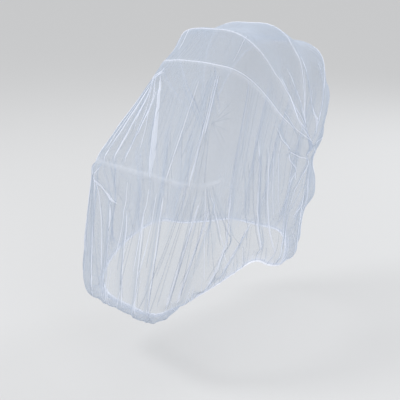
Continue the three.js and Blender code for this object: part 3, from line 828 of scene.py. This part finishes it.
def add_sheet(cloth, hung, bunched, lengths):
    """Joins the rows of points into the sheet. A row in HALVING_ROWS has half the points of the one below."""
    step, low, low_count = 1, 0, 0
    for row in range(len(hung)):
        step *= 2 if row in HALVING_ROWS else 1
        chosen = slice(0, 1) if row == len(hung) - 1 else slice(0, AROUND, step)
        first = cloth.add(hung[row, chosen], bunched[row, chosen], cut_places(lengths, row, chosen))
        count = len(cloth.points) - first
        if row > 0:
            join_rows(cloth.faces, low, low_count, first, count)
        low, low_count = first, count


def on_sheet(surface, start, towards, reach=ANY_REACH):
    """The first point of the sheet from a start in a direction, and its outward normal."""
    place, normal, _, _ = surface.ray_cast(Vector(start), Vector(towards), reach)
    if place is None:
        return None, None
    normal = np.array(normal)
    return np.array(place), normal if normal @ towards > 0 else -normal


def pleat_path(pleat):
    """Points along a pleat, BAND_STEP or a little more apart."""
    span = np.linalg.norm(pleat["end"] - pleat["start"])
    share = np.linspace(0, 1, max(LEAST_BAND_STEPS, int(span / BAND_STEP)) + 1)[:, None]
    return pleat["start"] + (pleat["end"] - pleat["start"]) * share + pleat["bow"] * 4 * share * (1 - share)


def ridge_pleats():
    """Narrow bands along the hood's ridges, where the net is drawn tight over them."""
    pleats = []
    for ridge in RIDGES:
        knots = arch_points(ridge)
        knots = knots[knots[:, 2] > HOOD_AXIS["z"] + RIDGE_BAND_FROM]
        ways = ways_along(knots)
        path = points_at(np.linspace(0, ways[-1], int(ways[-1] / BAND_STEP)), ways, knots)
        pleats.append({"path": path, "halves": (RIDGE_BAND_HALF, RIDGE_BAND_HALF), "tight": True})
    return pleats


def add_bands(cloth, surface, pleats):
    """Lays every pleat's folded-over band on the sheet, as a strip that tapers to both ends."""
    for pleat in pleats:
        path = pleat["path"] if "path" in pleat else pleat_path(pleat)
        if path is None:
            continue
        spots = [on_sheet(surface, HEART, point - HEART) for point in path]
        spots = [spot for spot in spots if spot[0] is not None]
        if len(spots) < LEAST_BAND_SPOTS:
            continue
        path = even_out(np.array([place for place, _ in spots]), BAND_EVENING)
        normals = even_out(np.array([normal for _, normal in spots]), BAND_EVENING)
        normals /= np.linalg.norm(normals, axis=1)[:, None]
        lengths = ways_along(path)
        span = lengths[-1]
        columns = max(1, round(max(pleat["halves"]) / BAND_COLUMN))
        across = np.linspace(-1, 1, 2 * columns + 1)
        before = None
        for middle, normal, way, length in zip(path, normals, np.gradient(path, axis=0), lengths):
            share = length / span
            low, high = pleat["halves"]
            half = low + (high - low) * share
            bunched = TIGHT_BUNCHED / (1 + half / SOFTENING_HALF) if pleat["tight"] else LOOSE_BUNCHED
            half *= min(1, BAND_BLUNTNESS + min(share, 1 - share) * span / (PLEAT_TAPER / 2 + 5 * half))
            side = np.cross(normal, way)
            side /= np.linalg.norm(side)
            points = []
            for k in across:
                start = middle + side * half * k - normal * BAND_SEARCH
                place, _ = on_sheet(surface, start, normal, 2 * BAND_SEARCH)
                if place is not None:
                    points.append(place + normal * (BAND_LIFT + (BAND_SUNK - BAND_LIFT) * k**2))
            if len(points) < len(across):
                before = None
                continue
            flat = [(half * k / MM_IN_METRE, span * share / MM_IN_METRE) for k in across]
            first = cloth.add(points, [bunched] * len(points), flat)
            if before is not None:
                for k in range(2 * columns):
                    cloth.faces.append((before + k, before + k + 1, first + k + 1, first + k))
            before = first


def add_hem(cloth, hung, lengths):
    """Lays the turned edge on the sheet, from the mouth up."""
    normals = sheet_normals(hung[:HEM_ROWS + 1], EDGE_NORMAL_PASSES)
    before = 0
    for row in range(HEM_ROWS):
        points = hung[row] + normals[row] * HEM_LIFT
        first = cloth.add(points, [HEM_BUNCHED] * AROUND, cut_places(lengths, row))
        if row > 0:
            join_rows(cloth.faces, before, AROUND, first, AROUND)
        before = first


def make_net(hung, bunched, lengths, pleats):
    """The net: the sheet, its turned edge and its bands, with how bunched it is and its place on the cut."""
    cloth = Cloth()
    add_sheet(cloth, hung, bunched, lengths)
    add_hem(cloth, hung, lengths)
    surface = BVHTree.FromPolygons([tuple(p) for p in cloth.points], cloth.faces)
    add_bands(cloth, surface, pleats + ridge_pleats())
    net = new_mesh("net_cloth", cloth.points, cloth.faces)
    field = net.data.attributes.new("bunched", "FLOAT", "POINT")
    field.data.foreach_set("value", np.array(cloth.bunched, np.float32))
    layout = net.data.uv_layers.new(name="cut")
    corners = np.empty(len(net.data.loops), np.int32)
    net.data.loops.foreach_get("vertex_index", corners)
    layout.data.foreach_set("uv", np.array(cloth.flat, np.float32)[corners].ravel())
    return net


# The elastic

def make_elastic(hung):
    """A ribbed band under the cut edge, whose rounded section follows the gathers."""
    normals = sheet_normals(hung, EDGE_NORMAL_PASSES)[0]
    down = hung[0] - hung[1]
    down -= (down * normals).sum(axis=1)[:, None] * normals
    down /= np.linalg.norm(down, axis=1)[:, None]
    edge = hung[0] - normals * CLOTH_THICKNESS / 2
    section = []
    for k in range(ELASTIC_SIDES):
        turn = 2 * math.pi * k / ELASTIC_SIDES
        section.append((
            SEAM_GAP + ELASTIC_WIDTH / 2 * (1 - rounded(math.cos(turn), ELASTIC_ROUNDNESS)),
            ELASTIC_THICKNESS / 2 * rounded(math.sin(turn), ELASTIC_ROUNDNESS),
        ))
    points, faces = [], []
    for i in range(AROUND):
        rib = 1 - ELASTIC_RIB * (i % 2)
        for drop, out in section:
            points.append(edge[i] + down[i] * drop + normals[i] * out * rib)
        here, there = i * ELASTIC_SIDES, (i + 1) % AROUND * ELASTIC_SIDES
        for k in range(ELASTIC_SIDES):
            beside = (k + 1) % ELASTIC_SIDES
            faces.append((here + k, here + beside, there + beside, there + k))
    return new_mesh("elastic_band", points, faces)


# Materials

def new_material(name):
    """A node material with nothing in it yet."""
    material = bpy.data.materials.new(name)
    material.use_nodes = True
    material.node_tree.nodes.clear()
    return material


def add_node(material, kind, inputs=None):
    """Adds a node. An input that is given as a socket is linked to it, and any other is set to the value."""
    node = material.node_tree.nodes.new(kind)
    for name, value in (inputs or {}).items():
        if isinstance(value, bpy.types.NodeSocket):
            material.node_tree.links.new(value, node.inputs[name])
        else:
            node.inputs[name].default_value = value
    return node


def maths(material, operation, first, second):
    """What a Math node makes of two values or sockets."""
    node = add_node(material, "ShaderNodeMath", {0: first, 1: second})
    node.operation = operation
    return node.outputs[0]


def tulle_material():
    """Sheer net: it hides more where it is thicker and where it is seen aslant. A single layer is painted a darker
    grey-blue as painted shade, and it is whiter where it is thicker.
    """
    material = new_material("tulle")
    facing = add_node(material, "ShaderNodeLayerWeight", {"Blend": 0.5})
    slant = maths(material, "SUBTRACT", 1.0, facing.outputs["Facing"])
    slant = maths(material, "MAXIMUM", slant, LEAST_SLANT)
    bunched = add_node(material, "ShaderNodeAttribute")
    bunched.attribute_name = "bunched"
    layers = maths(material, "ADD", bunched.outputs["Fac"], 1.0)
    through = maths(material, "POWER", VEIL_THROUGH, maths(material, "DIVIDE", layers, slant))

    place = add_node(material, "ShaderNodeTexCoord")
    cells = add_node(material, "ShaderNodeTexVoronoi", {
        "Vector": place.outputs["UV"], "Scale": THREAD_CELLS, "Randomness": THREAD_UNEVENNESS,
    })
    cells.feature = "DISTANCE_TO_EDGE"
    threads = add_node(material, "ShaderNodeMapRange", {
        "Value": cells.outputs["Distance"], "From Min": THREAD_EDGES[0], "From Max": THREAD_EDGES[1],
        "To Min": THREAD_SHADE, "To Max": 1.0,
    })
    through = maths(material, "MULTIPLY", through, threads.outputs["Result"])

    # The base colour runs from the darker thin colour, which is painted shade, to the white of thick cloth as the
    # net is more bunched
    colour = add_node(material, "ShaderNodeMix", {0: bunched.outputs["Fac"], 6: THIN_PAINTED_SHADE_COLOUR, 7: THICK_COLOUR})
    colour.data_type = "RGBA"
    front = add_node(material, "ShaderNodeBsdfPrincipled", {
        "Base Color": colour.outputs[2], "Roughness": 0.75, "Specular IOR Level": 0.25,
        "Sheen Weight": 0.25, "Sheen Roughness": 0.4,
    })
    behind = add_node(material, "ShaderNodeBsdfTranslucent", {"Color": colour.outputs[2]})
    cloth = add_node(material, "ShaderNodeMixShader", {
        "Fac": TRANSLUCENT_SHARE, 1: front.outputs["BSDF"], 2: behind.outputs["BSDF"],
    })
    clear = add_node(material, "ShaderNodeBsdfTransparent")
    sheer = add_node(material, "ShaderNodeMixShader", {
        "Fac": through, 1: cloth.outputs["Shader"], 2: clear.outputs["BSDF"],
    })
    add_node(material, "ShaderNodeOutputMaterial", {"Surface": sheer.outputs["Shader"]})
    return material


def elastic_material():
    """White ribbed elastic, painted darker in the hollows of its bumped ribs as painted shade."""
    material = new_material("elastic")
    place = add_node(material, "ShaderNodeTexCoord")
    ribs = add_node(material, "ShaderNodeTexNoise", {
        "Vector": place.outputs["Object"], "Scale": ELASTIC_RIBS, "Detail": 2,
    })
    # Painted shade: the ribs' noise that sinks the bump also darkens the colour, so the hollows are painted
    # grey-blue
    painted_rib_shade = add_node(material, "ShaderNodeValToRGB", {"Fac": ribs.outputs["Fac"]})
    for element, (position, colour) in zip(painted_rib_shade.color_ramp.elements, ELASTIC_PAINTED_SHADE_COLOURS):
        element.position = position
        element.color = colour
    raised = add_node(material, "ShaderNodeBump", {
        "Height": ribs.outputs["Fac"], "Strength": 0.5, "Distance": 0.0006,
    })
    yarn = add_node(material, "ShaderNodeBsdfPrincipled", {
        "Base Color": painted_rib_shade.outputs["Color"], "Normal": raised.outputs["Normal"], "Roughness": 0.8,
        "Sheen Weight": 0.3,
    })
    add_node(material, "ShaderNodeOutputMaterial", {"Surface": yarn.outputs["BSDF"]})
    return material


def studio_material():
    """Matt grey paper that glows a little, so that its shadows stay soft."""
    material = new_material("studio paper")
    paper = add_node(material, "ShaderNodeBsdfPrincipled", {
        "Base Color": STUDIO_COLOUR, "Roughness": 0.95, "Specular IOR Level": 0.05,
        "Emission Color": (1, 1, 1, 1), "Emission Strength": STUDIO_GLOW,
    })
    add_node(material, "ShaderNodeOutputMaterial", {"Surface": paper.outputs["BSDF"]})
    return material


# Studio

def make_floor():
    """A plain round floor that curves up gently all round."""
    bpy.ops.object.select_all(action="DESELECT")
    bpy.ops.mesh.primitive_circle_add(
        vertices=STUDIO_SIDES, radius=STUDIO_RADIUS, fill_type="NGON", location=(0, 0, FLOOR_Z))
    floor = bpy.context.object
    floor.name = "studio_floor"
    bpy.ops.object.transform_apply(location=True, rotation=True, scale=True)
    bpy.ops.object.mode_set(mode="EDIT")
    bpy.ops.mesh.select_mode(type="EDGE")
    bpy.ops.mesh.select_all(action="SELECT")
    bpy.ops.mesh.region_to_loop()
    out, up = STUDIO_RADIUS, 0.0
    for step in range(1, COVE_STEPS + 1):
        turn = math.radians(COVE_TURN) * step / COVE_STEPS
        wanted_out = STUDIO_RADIUS + COVE_RADIUS * math.sin(turn)
        wanted_up = COVE_RADIUS * (1 - math.cos(turn))
        bpy.ops.mesh.extrude_edges_move(TRANSFORM_OT_translate={"value": (0, 0, wanted_up - up)})
        grow = wanted_out / out
        bpy.ops.transform.resize(value=(grow, grow, 1), center_override=(0, 0, 0))
        out, up = wanted_out, wanted_up
    bpy.ops.object.mode_set(mode="OBJECT")
    bpy.ops.object.shade_smooth()
    floor.data.materials.append(studio_material())


def make_light(name, place, aim, size, power, colour):
    """A round lamp that shines from its place towards its aim."""
    lamp = bpy.data.lights.new(name, "AREA")
    lamp.shape = "DISK"
    lamp.size = size
    lamp.energy = power
    lamp.color = colour
    light = bpy.data.objects.new(name, lamp)
    light.location = place
    towards = np.array(aim, float) - np.array(place, float)
    flat = math.hypot(towards[0], towards[1])
    light.rotation_euler = (math.atan2(flat, -towards[2]), 0, math.atan2(towards[1], towards[0]) - math.pi / 2)
    bpy.context.scene.collection.objects.link(light)


def make_studio():
    """The floor, three lamps and the even light of the room."""
    make_floor()
    make_light("key", place=(-2.6, -3.2, 3.6), aim=(0, -0.15, -0.4), size=1.8, power=200, colour=(1.0, 0.99, 0.98))
    make_light("fill", place=(4.2, -1.2, 1.2), aim=(0, 0, -0.4), size=2.6, power=85, colour=(0.96, 0.97, 1.0))
    make_light("back", place=(0.6, 4.2, 2.4), aim=(0, 0, -0.4), size=2.0, power=120, colour=(0.97, 0.98, 1.0))
    world = bpy.data.worlds.new("studio")
    world.use_nodes = True
    world.node_tree.nodes["Background"].inputs["Color"].default_value = WORLD_COLOUR
    world.node_tree.nodes["Background"].inputs["Strength"].default_value = 1.0
    bpy.context.scene.world = world
    bpy.context.scene.view_settings.view_transform = "Standard"


def make_camera():
    """The camera, where it sees the net as the picture shows it."""
    lens = bpy.data.cameras.new("camera")
    lens.lens = CAMERA_LENS
    lens.sensor_width = CAMERA_SENSOR
    lens.clip_end = CAMERA_SEES_TO
    camera = bpy.data.objects.new("camera", lens)
    camera.location = CAMERA_PLACE
    camera.rotation_euler = (math.radians(90 - CAMERA_DIP), 0, math.radians(CAMERA_TURN))
    bpy.context.scene.collection.objects.link(camera)
    bpy.context.scene.camera = camera


make_camera()
make_studio()

hung, bunched, lengths, pleats = hung_sheet()
net = make_net(hung, bunched, lengths, pleats)
net.data.materials.append(tulle_material())
elastic = make_elastic(hung)
elastic.data.materials.append(elastic_material())

for piece, node, slot in ((net, "net", "tulle"), (elastic, "elastic_edge", "elastic")):
    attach(piece, "root")
    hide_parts(node)
